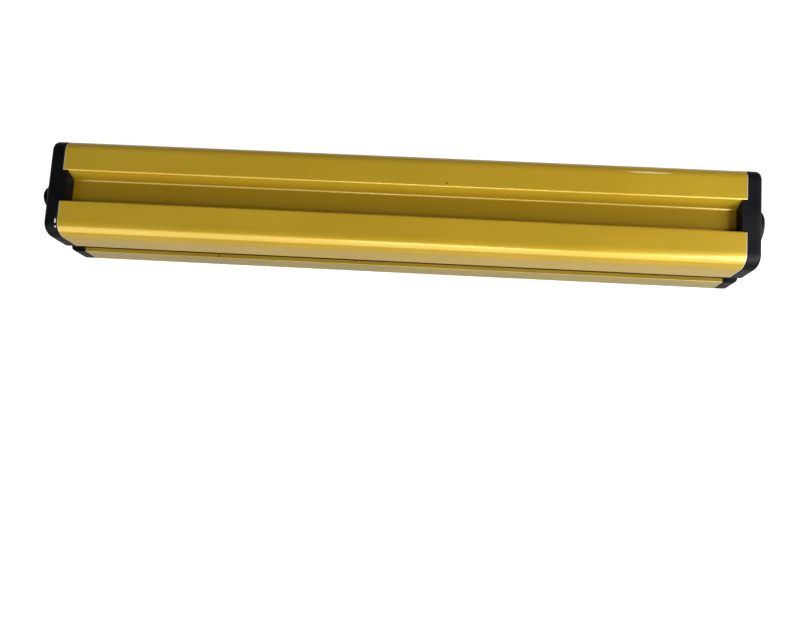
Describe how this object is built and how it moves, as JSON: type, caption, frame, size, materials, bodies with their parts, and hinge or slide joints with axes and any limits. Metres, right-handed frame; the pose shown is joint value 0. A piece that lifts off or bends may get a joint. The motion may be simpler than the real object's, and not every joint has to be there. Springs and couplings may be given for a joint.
{
  "type": "safety light curtain bar",
  "caption": "Bar of a safety light curtain: yellow aluminium housing with a back channel and side grooves, black end caps, a tinted front window and a round male connector.",
  "frame": {"origin": "middle of the bar's length and width, in the plane of the front face that it rests on", "axes": "+X along the bar, away from the connector; +Y across the bar; +Z from the front window to the back with its channel"},
  "size_m": [0.3754, 0.051, 0.035],
  "materials": {
    "yellow_paint": "satin safety yellow coat",
    "black_plastic": "fine moulded grain",
    "tinted_window": "dark tint, clear to infrared",
    "rubber": "matt",
    "gasket": "matt",
    "screw_steel": "zinc plated",
    "connector_metal": "nickel plated",
    "insert_plastic": "moulded",
    "contact_brass": "gilt",
    "plug_plastic": "moulded",
    "ribbon": "grey insulation",
    "circuit_board": "green solder mask",
    "carrier_plastic": "moulded",
    "chip_plastic": "moulded",
    "capacitor_can": "bright can",
    "lamp_plastic": "milky",
    "clear_plastic": "clear, polished",
    "diode_plastic": "dark tint"
  },
  "bodies": {
    "root": {"housing_extrusion": "yellow_paint", "front_window": "tinted_window", "window_seal_near": "rubber", "window_seal_far": "rubber", "connector_end_cap": "black_plastic", "blind_end_cap": "black_plastic", "connector_cap_gasket": "gasket", "blind_cap_gasket": "gasket", "connector_cap_screws": "screw_steel", "blind_cap_screws": "screw_steel", "connector_shell": "connector_metal", "connector_insert": "insert_plastic", "connector_pins": "contact_brass", "connector_seal": "rubber", "connector_lock_nut": "connector_metal", "lead_ribbon": "ribbon", "lead_plug": "plug_plastic", "main_board": "circuit_board", "lens_carrier": "carrier_plastic", "lens_1": "clear_plastic", "lens_2": "clear_plastic", "lens_3": "clear_plastic", "lens_4": "clear_plastic", "lens_5": "clear_plastic", "lens_6": "clear_plastic", "lens_7": "clear_plastic", "lens_8": "clear_plastic", "diode_1": "diode_plastic", "diode_2": "diode_plastic", "diode_3": "diode_plastic", "diode_4": "diode_plastic", "diode_5": "diode_plastic", "diode_6": "diode_plastic", "diode_7": "diode_plastic", "diode_8": "diode_plastic", "aperture_strip": "carrier_plastic", "carrier_screws": "screw_steel", "control_board": "circuit_board", "control_board_spacers": "screw_steel", "control_board_screws": "screw_steel", "board_header": "insert_plastic", "controller_chips": "chip_plastic", "amplifier_chips": "chip_plastic", "capacitors": "capacitor_can", "status_lamps": "lamp_plastic", "light_pipe": "clear_plastic"}
  },
  "joints": []
}
